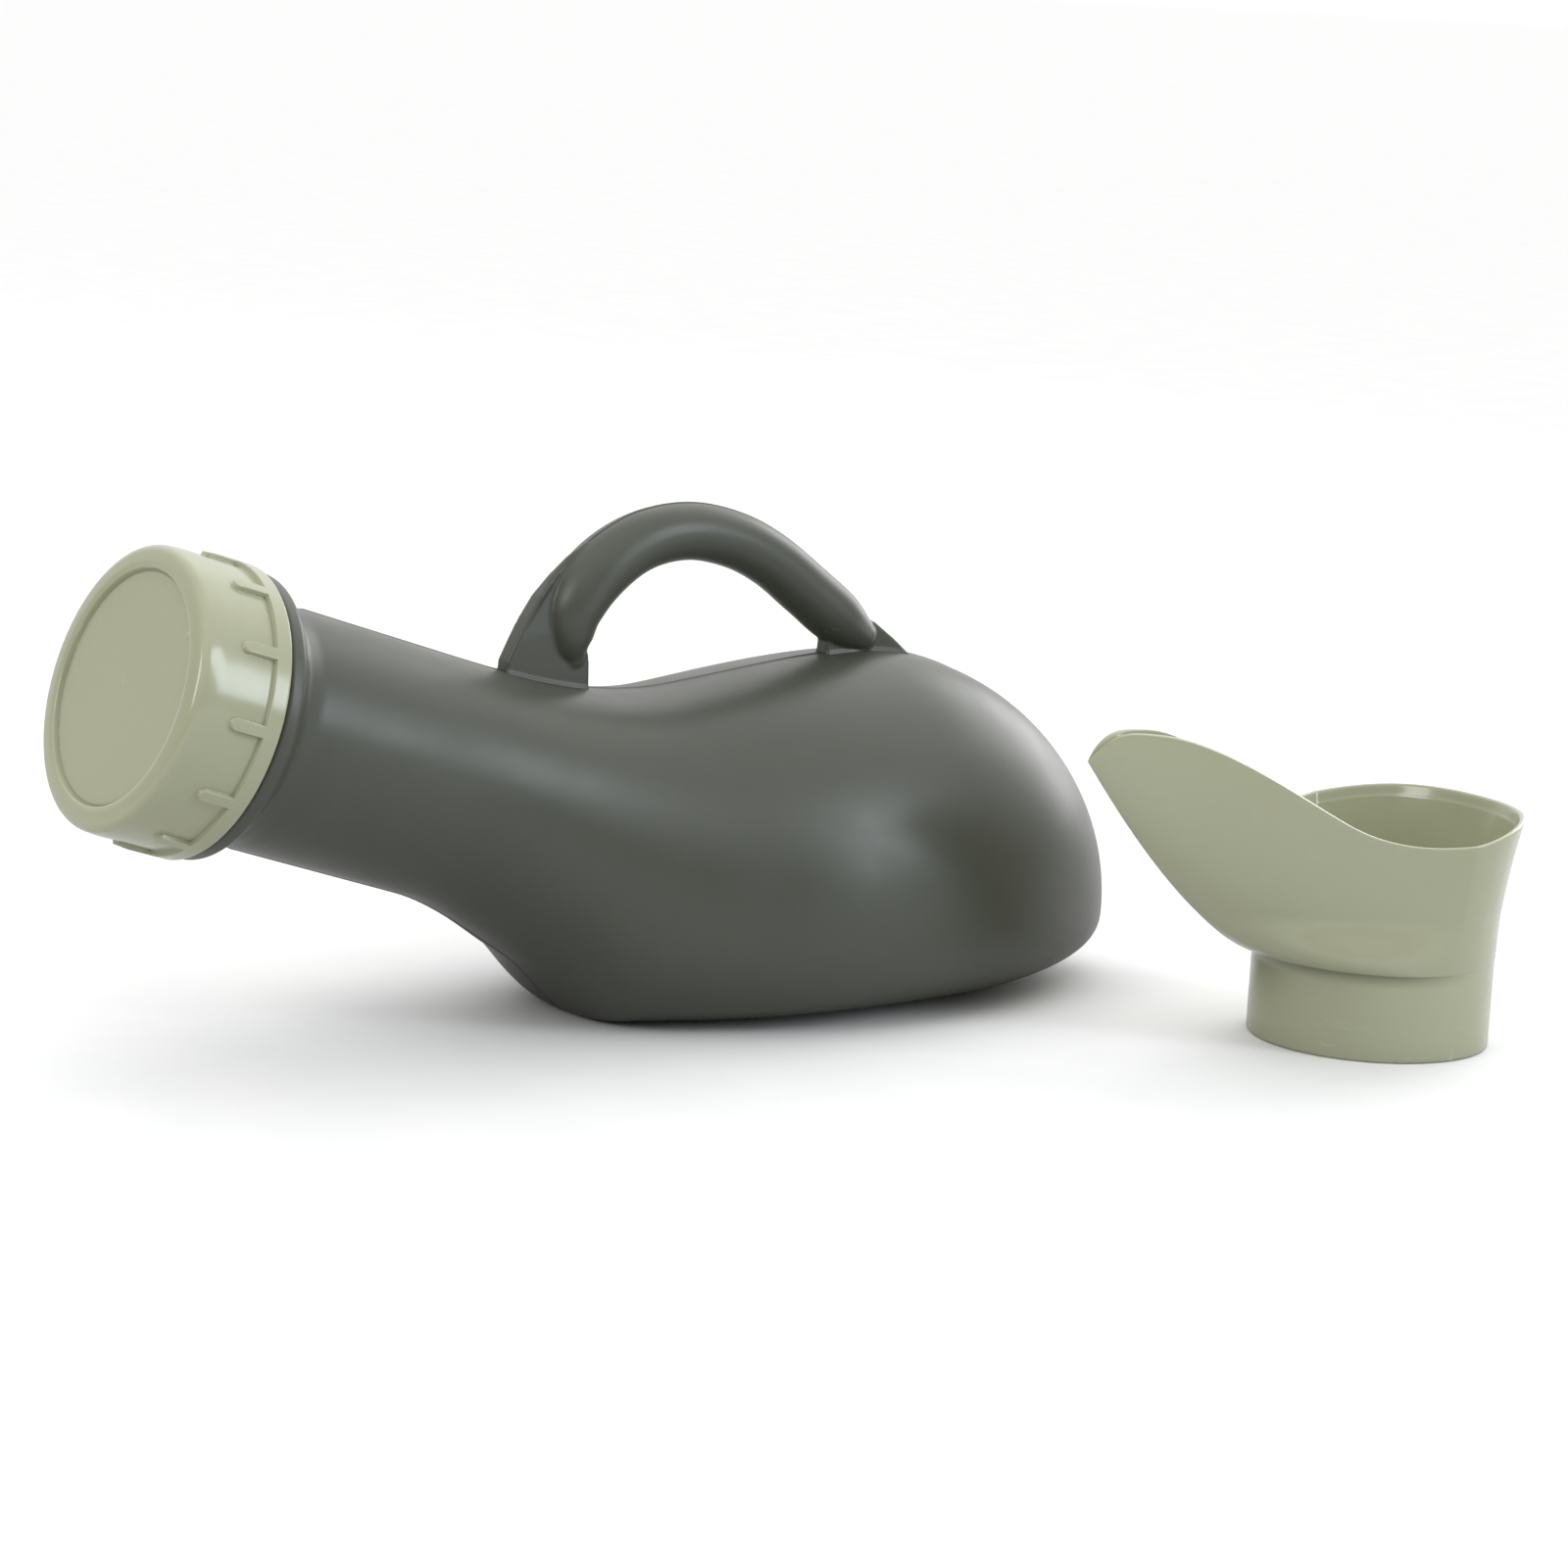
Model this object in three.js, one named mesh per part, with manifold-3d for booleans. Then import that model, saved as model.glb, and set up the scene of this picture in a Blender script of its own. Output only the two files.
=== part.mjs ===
// Urine bottle: blow-moulded shell, carry handle, screw cap with liner, and a loose female adapter.
// Millimetres. +Z up, the mouth towards -X, the origin on the middle of the bottle's flat base.
import * as THREE from 'three';
import { ParametricGeometry } from 'three/addons/geometries/ParametricGeometry.js';
import { mergeVertices } from 'three/addons/utils/BufferGeometryUtils.js';
import Module from 'manifold-3d';

const wasm = await Module();
wasm.setup();

// ---- driving dimensions -------------------------------------------------------------------

// neck axis: leaves the belly and climbs towards the mouth
const NECK_TILT = 17.4 * Math.PI / 180;
const NECK_X = -150;
const NECK_Z = 83;
const NECK_R = 29.7;
const NECK_END_X = -96;

// belly
const WALL = 2.0;
const REAR_X = 121;
const REAR_Z = 17.3;
const SADDLE = { x: -19, z: 82.7, slope: 0.11 };
const HUMP = { x: 42.5, z: 88.8 };
const HUMP_POWER = 1.91;
const THROAT = { x: -63.3, z: 16.2, slope: -0.64 };
const BASE_FRONT_X = -41;
const BASE_REAR_X = 44;
const BASE_DROP = 1.0;
const BELLY_HALF_W = 55.4;
const BELLY_WIDE_X = 14;
const BELLY_WIDE_Z = 26.8;
const BELLY_FULL_X = -2;
const BASE_SQUARENESS = 2.85;

// neck finish and thread
const LIP_L = 17.7;
const FINISH_R = 28.0;
const BORE_R = 26.0;
const BEAD_R = 35.3;
const PITCH = 6.0;
const THREAD_TURNS = 1.5;
const THREAD_CREST_R = 29.4;

// cap and liner
const CAP_FACE_L = 21.5;
const CAP_RIM_L = 23.9;
const CAP_TOP = 2.0;
const CAP_SKIRT_R = 35.0;
const CAP_BAND_R = 36.3;
const CAP_BAND_H = 4.2;
const CAP_INNER_R = 31.0;
const CAP_THREAD_CREST_R = 28.6;
const RIB_COUNT = 12;
const RIB_W = 3.0;
const RIB_END_L = 13.0;
const LINER_R = 30.2;
const LINER_T = 1.2;

// handle: centre line of the grip and its radius, from the front foot to the rear foot
const GRIP_HALF_Y = 1.04;
const GRIP = [
  { x: -47.2, z: 90.5, r: 3.4 },
  { x: -48.3, z: 95.5, r: 6.0 },
  { x: -47.6, z: 103, r: 7.6 },
  { x: -41.2, z: 111.6, r: 8.0 },
  { x: -29, z: 119.2, r: 7.6 },
  { x: -14, z: 121.6, r: 7.3 },
  { x: 1, z: 118.7, r: 7.2 },
  { x: 12.5, z: 113.4, r: 7.2 },
  { x: 24.5, z: 105, r: 7.3 },
  { x: 36, z: 95.8, r: 7.4 },
  { x: 43, z: 91.2, r: 4.6 },
];
const WEB_T = 5.0;
const FRONT_WEB = [
  [-67.5, 80], [-67, 91], [-64, 99.5], [-58.5, 107.5], [-50.5, 115],
  [-44, 112], [-46, 100], [-43.5, 91], [-42.8, 76],
];
const REAR_WEB = [[29.5, 80], [30.5, 91.5], [40, 97], [49, 94.6], [58.5, 85.5], [58.5, 76]];
const HANDLE_GAP = 0.3;

// adapter: a round collar, then a scoop whose sections lengthen towards the lip
const ADAPTER_X = 135.4;
const ADAPTER_Y = -104;
const ADAPTER_TURN = 170.9 * Math.PI / 180;
const COLLAR_R = 31.1;
const COLLAR_BORE_R = 29.7;
const COLLAR_H = 22.5;
const SCOOP_REAR_FLARE = 4.95;
const SCOOP_TIP_S = 89.5;
const SCOOP_TIP_Z = 74.8;
const SCOOP_HALF_W = 38;
const SCOOP_LEDGE = 0.9;
const SCOOP_SHIFT = -3;
const SCOOP_NARROWING = 0.8;
const SCOOP_NARROW_POWER = 1.4;
const SCOOP_REACH_POWER = 0.655;
const SCOOP_SLIT = 0.25;
const SCOOP_BOW = 1.415;
const SCOOP_STERN = 1.12;
const SCOOP_RIM_Z = 60.5;
const SCOOP_WALL = 1.8;

// ---- helpers --------------------------------------------------------------------------------

const clamp = (value, low, high) => Math.min(Math.max(value, low), high);
const lerp = (a, b, t) => a + (b - a) * t;
const smooth = (t) => t * t * (3 - 2 * t);
const signedPower = (value, power) => Math.sign(value) * Math.pow(Math.abs(value), power);

// cubic curve through nodes of { x, z, slope }
function curveAt(x, nodes) {
  let k = 0;
  while (k < nodes.length - 2 && x > nodes[k + 1].x) k += 1;
  const a = nodes[k];
  const b = nodes[k + 1];
  const h = b.x - a.x;
  const t = clamp((x - a.x) / h, 0, 1);
  const t2 = t * t;
  const t3 = t2 * t;
  const ends = (2 * t3 - 3 * t2 + 1) * a.z + (3 * t2 - 2 * t3) * b.z;
  return ends + ((t3 - 2 * t2 + t) * a.slope + (t3 - t2) * b.slope) * h;
}

// closed three.js geometry to a manifold solid
function toSolid(geometry) {
  geometry.deleteAttribute('normal');
  geometry.deleteAttribute('uv');
  const merged = mergeVertices(geometry, 1e-4);
  const index = merged.index.array;
  const kept = [];
  for (let i = 0; i < index.length; i += 3) {
    const [a, b, c] = [index[i], index[i + 1], index[i + 2]];
    if (a !== b && b !== c && c !== a) kept.push(a, b, c);
  }
  const positions = Float32Array.from(merged.attributes.position.array);
  const mesh = new wasm.Mesh({ numProp: 3, vertProperties: positions, triVerts: Uint32Array.from(kept) });
  return new wasm.Manifold(mesh);
}

function fromSolid(solid) {
  const mesh = solid.getMesh();
  const geometry = new THREE.BufferGeometry();
  geometry.setAttribute('position', new THREE.BufferAttribute(Float32Array.from(mesh.vertProperties), 3));
  geometry.setIndex(Array.from(mesh.triVerts));
  return geometry;
}

function lathe(profile, segments) {
  const geometry = new THREE.LatheGeometry(profile.map(([r, z]) => new THREE.Vector2(r, z)), segments);
  return geometry.rotateX(Math.PI / 2);
}

// from cap-and-neck coordinates (Z along the neck axis, out of the mouth) to the row frame
const neckMatrix = new THREE.Matrix4()
  .makeTranslation(NECK_X, 0, NECK_Z)
  .multiply(new THREE.Matrix4().makeRotationY(NECK_TILT - Math.PI / 2));

const onNeck = (geometry) => geometry.applyMatrix4(neckMatrix);

// right-hand screw ridge round Z, its ends drawn down to a point
function screwRidge(rootR, crestR, rootHalf, crestHalf, startZ, turns) {
  const corners = [[0, -1], [1, -1], [1, 1], [0, 1]];
  const surface = (u, v, target) => {
    const size = smooth(clamp(Math.min(v, 1 - v) / 0.14, 0, 1));
    const [out, side] = corners[Math.round(u * 4) % 4];
    const half = (out ? crestHalf : rootHalf) * size;
    const radius = rootR + out * (crestR - rootR) * size;
    const angle = v * turns * 2 * Math.PI;
    const z = startZ + v * turns * PITCH + side * half;
    target.set(radius * Math.cos(angle), radius * Math.sin(angle), z);
  };
  return new ParametricGeometry(surface, 4, Math.round(26 * turns));
}

// ---- bottle skin ------------------------------------------------------------------------------

const neckSlope = Math.tan(NECK_TILT);
const neckAxisZ = (x) => NECK_Z - (x - NECK_X) * neckSlope;

// section of the belly at x: half width, top, bottom, height of the widest line, corner powers
function sectionAt(x, inset) {
  const rear = REAR_X - inset;
  const neckHalfZ = (NECK_R - inset) / Math.cos(NECK_TILT);
  const farX = NECK_X - 60;
  const topNodes = [
    { x: farX, z: neckAxisZ(farX) + neckHalfZ, slope: -neckSlope },
    { x: NECK_END_X, z: neckAxisZ(NECK_END_X) + neckHalfZ, slope: -neckSlope },
    { x: SADDLE.x, z: SADDLE.z - inset, slope: SADDLE.slope },
    { x: HUMP.x, z: HUMP.z - inset, slope: 0 },
  ];
  const bottomNodes = [
    { x: farX, z: neckAxisZ(farX) - neckHalfZ, slope: -neckSlope },
    { x: NECK_END_X, z: neckAxisZ(NECK_END_X) - neckHalfZ, slope: -neckSlope },
    { x: THROAT.x, z: THROAT.z + inset, slope: THROAT.slope },
    { x: BASE_FRONT_X, z: inset - BASE_DROP, slope: 0 },
  ];
  const widthNodes = [
    { x: farX, z: NECK_R - inset, slope: 0 },
    { x: NECK_END_X, z: NECK_R - inset, slope: 0 },
    { x: BELLY_WIDE_X, z: BELLY_HALF_W - inset, slope: 0 },
  ];
  let top = curveAt(x, topNodes);
  if (x > HUMP.x) {
    const s = clamp((x - HUMP.x) / (rear - HUMP.x), 0, 1);
    const height = HUMP.z - inset - REAR_Z;
    top = REAR_Z + height * Math.pow(Math.max(1 - Math.pow(s, HUMP_POWER), 0), 1 / 1.88);
  }
  let bottom = curveAt(x, bottomNodes);
  if (x > BASE_REAR_X) {
    const s = clamp((x - BASE_REAR_X) / (rear - BASE_REAR_X), 0, 1);
    const rise = REAR_Z - inset + BASE_DROP;
    bottom = inset - BASE_DROP + rise * (1 - Math.pow(Math.max(1 - Math.pow(s, 2.22), 0), 1 / 2.22));
  }
  let half = curveAt(x, widthNodes);
  if (x > BELLY_WIDE_X) {
    const s = clamp((x - BELLY_WIDE_X) / (rear - BELLY_WIDE_X), 0, 1);
    half = (BELLY_HALF_W - inset) * Math.sqrt(Math.max(1 - Math.pow(s, 2.12), 0));
  }
  const blend = smooth(clamp((x - NECK_END_X) / (BELLY_FULL_X - NECK_END_X), 0, 1));
  const drop = Math.pow(clamp((x - BELLY_WIDE_X) / (rear - BELLY_WIDE_X), 0, 1), 3);
  const wide = lerp(lerp(neckAxisZ(x), BELLY_WIDE_Z, blend), REAR_Z, drop);
  return {
    half,
    top,
    bottom,
    wide: clamp(wide, bottom + 0.2, Math.max(top - 0.2, bottom + 0.2)),
    upper: 2 + 0.07 * blend,
    lower: 2 + (BASE_SQUARENESS - 2) * blend,
  };
}

function skinSolid(inset, startX, around, along) {
  const endX = REAR_X - inset;
  const surface = (u, v, target) => {
    const t = clamp((v * along - 1) / (along - 2), 0, 1);
    const x = startX + (endX - startX) * Math.sin(t * Math.PI / 2);
    const s = sectionAt(x, inset);
    if (v === 0 || t === 1) {
      target.set(x, 0, s.wide);
      return;
    }
    const c = Math.cos(u * 2 * Math.PI);
    const d = Math.sin(u * 2 * Math.PI);
    const power = 2 / (d >= 0 ? s.upper : s.lower);
    const height = d >= 0 ? s.top - s.wide : s.wide - s.bottom;
    target.set(x, s.half * signedPower(c, power), s.wide + height * signedPower(d, power));
  };
  return toSolid(new ParametricGeometry(surface, around, along));
}

const neckAxis = [-Math.cos(NECK_TILT), 0, Math.sin(NECK_TILT)];
const neckOffset = (l) => neckAxis[0] * NECK_X + neckAxis[2] * NECK_Z + l;
const cutAcrossNeck = (solid, l) => solid.trimByPlane(neckAxis.map((n) => -n), -neckOffset(l));

function bottleShell() {
  const outer = cutAcrossNeck(skinSolid(0, NECK_X - 20, 36, 38), -8).trimByPlane([0, 0, 1], 0);
  const inner = cutAcrossNeck(skinSolid(WALL, NECK_X - 20, 28, 26), -6).trimByPlane([0, 0, 1], WALL);
  const finish = toSolid(onNeck(lathe([
    [0, -13],
    [NECK_R - 0.5, -13],
    [NECK_R + 0.4, -9.6],
    [NECK_R + 2.4, -7.2],
    [BEAD_R - 1.2, -5.4],
    [BEAD_R, -4.2],
    [BEAD_R, -2.0],
    [BEAD_R - 1.0, -0.9],
    [FINISH_R, -0.9],
    [FINISH_R, LIP_L - 0.6],
    [FINISH_R - 0.6, LIP_L],
    [0, LIP_L],
  ], 44)));
  const bore = toSolid(onNeck(lathe([[0, -10], [BORE_R, -10], [BORE_R, LIP_L + 2], [0, LIP_L + 2]], 44)));
  const ridge = screwRidge(FINISH_R - 0.3, THREAD_CREST_R, 1.5, 0.8, 4, THREAD_TURNS);
  return outer.add(finish).add(toSolid(onNeck(ridge))).subtract(inner).subtract(bore);
}

// ---- handle -------------------------------------------------------------------------------------

function gripSolid() {
  const points = GRIP.map((p) => new THREE.Vector3(p.x, 0, p.z));
  const curve = new THREE.CatmullRomCurve3(points);
  const along = 30;
  const surface = (u, v, target) => {
    const t = clamp((v * along - 1) / (along - 2), 0, 1);
    const centre = curve.getPoint(t);
    if (v === 0 || v === 1) {
      target.copy(centre);
      return;
    }
    const tangent = curve.getTangent(t);
    const at = t * (GRIP.length - 1);
    const k = Math.min(Math.floor(at), GRIP.length - 2);
    const radius = lerp(GRIP[k].r, GRIP[k + 1].r, smooth(at - k));
    const angle = -u * 2 * Math.PI;
    const outward = radius * Math.cos(angle);
    target.set(
      centre.x - tangent.z * outward,
      radius * GRIP_HALF_Y * Math.sin(angle),
      centre.z + tangent.x * outward,
    );
  };
  return toSolid(new ParametricGeometry(surface, 18, along));
}

function webSolid(outline) {
  const shape = new THREE.Shape(outline.map(([x, z]) => new THREE.Vector2(x, z)));
  const geometry = new THREE.ExtrudeGeometry(shape, { depth: WEB_T, bevelEnabled: false });
  return toSolid(geometry.rotateX(Math.PI / 2).translate(0, WEB_T / 2, 0));
}

function carryHandle() {
  const standing = gripSolid().add(webSolid(FRONT_WEB)).add(webSolid(REAR_WEB));
  return standing.subtract(skinSolid(-HANDLE_GAP, NECK_X - 20, 36, 38));
}

// ---- cap and liner --------------------------------------------------------------------------------

function screwCap() {
  const ceiling = CAP_FACE_L - CAP_TOP;
  const shell = toSolid(onNeck(lathe([
    [0, CAP_FACE_L],
    [28.6, CAP_FACE_L],
    [29.0, CAP_RIM_L - 0.7],
    [30.6, CAP_RIM_L],
    [32.3, CAP_RIM_L - 0.4],
    [33.8, CAP_RIM_L - 1.5],
    [34.7, CAP_RIM_L - 3.2],
    [CAP_SKIRT_R, CAP_RIM_L - 5.2],
    [CAP_SKIRT_R, CAP_BAND_H],
    [CAP_BAND_R - 0.3, CAP_BAND_H],
    [CAP_BAND_R, CAP_BAND_H - 0.4],
    [CAP_BAND_R, 0.3],
    [CAP_BAND_R - 0.3, 0],
    [CAP_INNER_R + 0.5, 0],
    [CAP_INNER_R, 0.5],
    [CAP_INNER_R, ceiling],
    [0, ceiling],
  ].reverse(), 64)));
  const ribs = [];
  for (let i = 0; i < RIB_COUNT; i += 1) {
    const rib = new THREE.BoxGeometry(CAP_BAND_R - CAP_INNER_R - 1, RIB_W, RIB_END_L - 2);
    rib.translate((CAP_BAND_R + CAP_INNER_R + 1) / 2 - 0.05, 0, RIB_END_L / 2 + 1);
    rib.rotateZ(i * 2 * Math.PI / RIB_COUNT);
    ribs.push(toSolid(onNeck(rib)));
  }
  const ridge = screwRidge(CAP_INNER_R + 0.3, CAP_THREAD_CREST_R, 1.5, 0.8, 7, THREAD_TURNS);
  return wasm.Manifold.union([shell, ...ribs, toSolid(onNeck(ridge))]);
}

function capLiner() {
  const low = LIP_L + 0.3;
  const profile = [[0, low], [LINER_R, low], [LINER_R, low + LINER_T], [0, low + LINER_T]];
  return toSolid(onNeck(lathe(profile, 40)));
}

// ---- adapter ------------------------------------------------------------------------------------------

// S runs from the collar's centre towards the lip, T across, Z up
const SCOOP_RIM = [
  { x: -36.5, z: 59.4, slope: 0.2 },
  { x: -34.5, z: SCOOP_RIM_Z, slope: 0 },
  { x: 27.8, z: 61.2, slope: 0.576 },
  { x: 73.1, z: 81.5, slope: 0.06 },
  { x: SCOOP_TIP_S, z: SCOOP_TIP_Z, slope: -1.52 },
];

function scoopPoint(angle, z, inset) {
  const c = Math.cos(angle);
  const climb = clamp((z - COLLAR_H) / (SCOOP_RIM_Z - COLLAR_H), 0, 1.7);
  const reach = clamp((z - COLLAR_H) / (SCOOP_TIP_Z - COLLAR_H), 0, 1.15);
  const grow = smooth(clamp((z - COLLAR_H) / 14, 0, 1));
  const foot = COLLAR_R + SCOOP_LEDGE * smooth(clamp(0.5 + c, 0, 1));
  const centre = SCOOP_SHIFT * grow;
  const rear = foot + SCOOP_REAR_FLARE * Math.pow(climb, 2.3) + centre;
  const front = foot + (SCOOP_TIP_S - foot) * Math.pow(reach, SCOOP_REACH_POWER) - centre;
  const half = foot + (SCOOP_HALF_W - foot) * Math.pow(climb, 0.82);
  const extent = c > 0 ? front - inset * 1.5 : rear - inset;
  const power = 1 + ((c > 0 ? SCOOP_BOW : SCOOP_STERN) - 1) * grow;
  const narrow = 1 - SCOOP_NARROWING * Math.pow(Math.max(c, 0), SCOOP_NARROW_POWER) * reach;
  const sine = signedPower(Math.sin(angle), power);
  const out = half * narrow * Math.abs(sine);
  // towards the lip the two walls close up on each other, so the inner skin keeps a slit between them
  const inner = c > 0
    ? Math.max(out - inset, out * (1 - (1 - SCOOP_SLIT) * inset / SCOOP_WALL))
    : (half * narrow - inset) * Math.abs(sine);
  return [centre + extent * signedPower(c, power), Math.sign(sine) * inner];
}

function rimHeight(angle) {
  let low = COLLAR_H;
  let high = SCOOP_TIP_Z + 12;
  for (let i = 0; i < 24; i += 1) {
    const middle = (low + high) / 2;
    if (middle < curveAt(scoopPoint(angle, middle, 0)[0], SCOOP_RIM)) low = middle;
    else high = middle;
  }
  return low;
}

function femaleAdapter() {
  const bare = [
    ...[[COLLAR_BORE_R + 0.3, 0], [COLLAR_R - 0.5, 0], [COLLAR_R, 0.6], [COLLAR_R, COLLAR_H - 0.4]],
  ];
  const rows = 9;
  const loop = bare.length + 2 * rows + 2;
  const surface = (u, v, target) => {
    const angle = u * 2 * Math.PI;
    const step = Math.round(v * loop) % loop;
    const top = rimHeight(angle);
    if (step < bare.length) {
      const [radius, z] = bare[step];
      target.set(radius * Math.cos(angle), radius * Math.sin(angle), z);
      return;
    }
    const k = step - bare.length;
    if (k < 2 * rows) {
      const inside = k >= rows;
      const along = inside ? 2 * rows - 1 - k : k;
      const z = lerp(COLLAR_H, top, Math.pow(along / (rows - 1), 1.4));
      const [s, t] = scoopPoint(angle, z, inside ? SCOOP_WALL : 0);
      target.set(s, t, z + (inside && along === 0 ? SCOOP_WALL : 0));
      return;
    }
    const z = k === 2 * rows ? COLLAR_H - 0.5 : 0.3;
    target.set(COLLAR_BORE_R * Math.cos(angle), COLLAR_BORE_R * Math.sin(angle), z);
  };
  const geometry = new ParametricGeometry(surface, 44, loop);
  geometry.rotateZ(ADAPTER_TURN).translate(ADAPTER_X, ADAPTER_Y, 0);
  return toSolid(geometry);
}

// ---- assembly -----------------------------------------------------------------------------------------

const olive = new THREE.MeshStandardMaterial({ color: 0x4d5045, roughness: 0.48, metalness: 0 });
const sage = new THREE.MeshStandardMaterial({ color: 0xa8a788, roughness: 0.4, metalness: 0 });
const foam = new THREE.MeshStandardMaterial({ color: 0xe6e4dc, roughness: 0.8, metalness: 0 });

const bottle = new THREE.Group();
const pieces = [
  ['bottle_shell', bottleShell(), olive],
  ['carry_handle', carryHandle(), olive],
  ['screw_cap', screwCap(), sage],
  ['cap_liner', capLiner(), foam],
  ['female_adapter', femaleAdapter(), sage],
];
for (const [name, solid, material] of pieces) {
  const mesh = new THREE.Mesh(fromSolid(solid), material);
  mesh.name = name;
  bottle.add(mesh);
  console.log(name, Math.round(solid.volume()), 'mm3,', solid.numTri(), 'triangles');
}

export default bottle;
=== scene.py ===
# %% [markdown]
# # A moulded urine bottle, its screw cap and its funnel
#
# The object is four plastic things: a blow-moulded bottle with a carry handle, a ribbed screw cap
# with a foam liner in it, and a loose funnel that pushes onto the neck. Every cell below makes one
# piece or one finish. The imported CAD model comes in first, as a fixed frame: each Blender piece is
# made in the same metres, takes the place of one CAD solid, and rides on that solid's body.

# %% Load the frame
import math
import bmesh
import bpy
import numpy as np
from mathutils import Matrix, Vector


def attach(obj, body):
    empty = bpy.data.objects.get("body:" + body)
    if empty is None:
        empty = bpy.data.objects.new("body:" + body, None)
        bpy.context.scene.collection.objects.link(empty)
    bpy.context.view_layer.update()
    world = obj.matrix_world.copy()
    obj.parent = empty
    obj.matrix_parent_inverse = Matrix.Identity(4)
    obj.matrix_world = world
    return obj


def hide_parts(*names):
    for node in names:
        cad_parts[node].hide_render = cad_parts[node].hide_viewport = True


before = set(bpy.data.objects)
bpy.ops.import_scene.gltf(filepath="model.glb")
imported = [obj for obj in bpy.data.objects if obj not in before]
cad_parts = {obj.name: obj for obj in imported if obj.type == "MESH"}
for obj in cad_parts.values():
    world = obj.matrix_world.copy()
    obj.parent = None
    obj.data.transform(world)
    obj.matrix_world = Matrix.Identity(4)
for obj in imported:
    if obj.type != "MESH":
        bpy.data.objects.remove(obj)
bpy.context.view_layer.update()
MM = 0.001

# %% [markdown]
# ## The camera
#
# The view is taken from well back through a long lens, so near and far ends keep nearly the
# same scale. The camera's three directions are written straight into its matrix. Tracking a target
# point would be simpler, but the slight roll of a hand-set tripod would be lost.

# %% Camera
EYE = Vector((-0.6459, -0.9099, 0.2639))
EYE_RIGHT = Vector((0.81136, -0.58211, 0.05341))
EYE_UP = Vector((0.064, 0.17929, 0.98171))
LENS_MM = 101.25

lens = bpy.data.cameras.new("studio_camera")
lens.sensor_width = 36
lens.lens = LENS_MM
lens.clip_start = 0.05
camera = bpy.data.objects.new("studio_camera", lens)
bpy.context.scene.collection.objects.link(camera)
right = EYE_RIGHT.normalized()
back = right.cross(EYE_UP).normalized()
up = back.cross(right)
camera.matrix_world = Matrix((
    (right.x, up.x, back.x, EYE.x),
    (right.y, up.y, back.y, EYE.y),
    (right.z, up.z, back.z, EYE.z),
    (0, 0, 0, 1),
))
bpy.context.scene.camera = camera
print("camera stands", round(EYE.length, 2), "m from the bottle")

# %% [markdown]
# ## Helpers for moulded skins
#
# A moulded part is one smooth skin whose thickness hardly changes. The most honest way to build
# such a skin is a grid: rings of points, one ring after another, joined into quads. Sculpting or
# subdividing a coarse cage would also work, but a grid lets each ring sit exactly where the
# dimension says, and it lets rings crowd together where an edge is crisp.

# %% Grid helpers
def smoothstep(value):
    t = np.clip(value, 0.0, 1.0)
    return t * t * (3 - 2 * t)


def signed_power(value, power):
    return np.sign(value) * np.abs(value) ** power


def skin_from_rings(name, rings, close_rows=False, cap_start=False, cap_end=False):
    """rings: array (rows, columns, 3) in millimetres; each ring closes on itself."""
    rings = np.asarray(rings, float)
    rows, columns, _ = rings.shape
    faces = []
    row_pairs = rows if close_rows else rows - 1
    for i in range(row_pairs):
        a, b = i * columns, ((i + 1) % rows) * columns
        for j in range(columns):
            k = (j + 1) % columns
            faces.append((a + j, a + k, b + k, b + j))
    if cap_start:
        faces.append(tuple(reversed(range(columns))))
    if cap_end:
        faces.append(tuple((rows - 1) * columns + j for j in range(columns)))
    mesh = bpy.data.meshes.new(name)
    mesh.from_pydata((rings.reshape(-1, 3) * MM).tolist(), [], faces)
    piece = bpy.data.objects.new(name, mesh)
    bpy.context.scene.collection.objects.link(piece)
    return piece


def outward(piece):
    """Weld doubled points, turn every face outwards and shade the skin smooth."""
    work = bmesh.new()
    work.from_mesh(piece.data)
    bmesh.ops.remove_doubles(work, verts=work.verts, dist=2e-6)
    bmesh.ops.dissolve_degenerate(work, edges=work.edges, dist=1e-7)
    bmesh.ops.recalc_face_normals(work, faces=work.faces)
    work.to_mesh(piece.data)
    work.free()
    piece.data.shade_smooth()
    return piece


def join(main, *others):
    with bpy.context.temp_override(active_object=main, selected_editable_objects=[main, *others]):
        bpy.ops.object.join()
    return main


def rounded_path(points, radii, steps=5):
    """A profile with each inner corner replaced by a small arc-like curve of the given reach."""
    points = [np.array(p, float) for p in points]
    out = [points[0]]
    for before, corner, after, reach in zip(points, points[1:], points[2:], radii):
        a, b = before - corner, after - corner
        cut = min(reach, 0.48 * np.linalg.norm(a), 0.48 * np.linalg.norm(b))
        start = corner + a / np.linalg.norm(a) * cut
        end = corner + b / np.linalg.norm(b) * cut
        for t in np.linspace(0, 1, steps):
            out.append((1 - t) ** 2 * start + 2 * t * (1 - t) * corner + t * t * end)
    out.append(points[-1])
    return np.array(out)


print("helpers ready")

# %% [markdown]
# ## The neck's own coordinates
#
# The neck leaves the belly at a slant, and everything round, the lip, the thread and the cap, is
# turned about its axis. It is easier to think in the neck's own terms: r is the distance from the
# axis, L the distance along it out of the mouth, and turn the angle round it from the top.

# %% Neck coordinates
NECK_TILT = math.radians(17.4)
NECK_FOOT = np.array((-150.0, 0.0, 83.0))
NECK_R = 29.7
OUT_OF_MOUTH = np.array((-math.cos(NECK_TILT), 0, math.sin(NECK_TILT)))
NECK_TOP = np.array((math.sin(NECK_TILT), 0, math.cos(NECK_TILT)))
ACROSS = np.array((0.0, 1.0, 0.0))


def on_neck(r, along, turn):
    r, along, turn = np.broadcast_arrays(r, along, turn)
    side = np.cos(turn)[..., None] * NECK_TOP + np.sin(turn)[..., None] * ACROSS
    return NECK_FOOT + r[..., None] * side + along[..., None] * OUT_OF_MOUTH


print("mouth points to", [round(float(v), 3) for v in OUT_OF_MOUTH])

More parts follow.
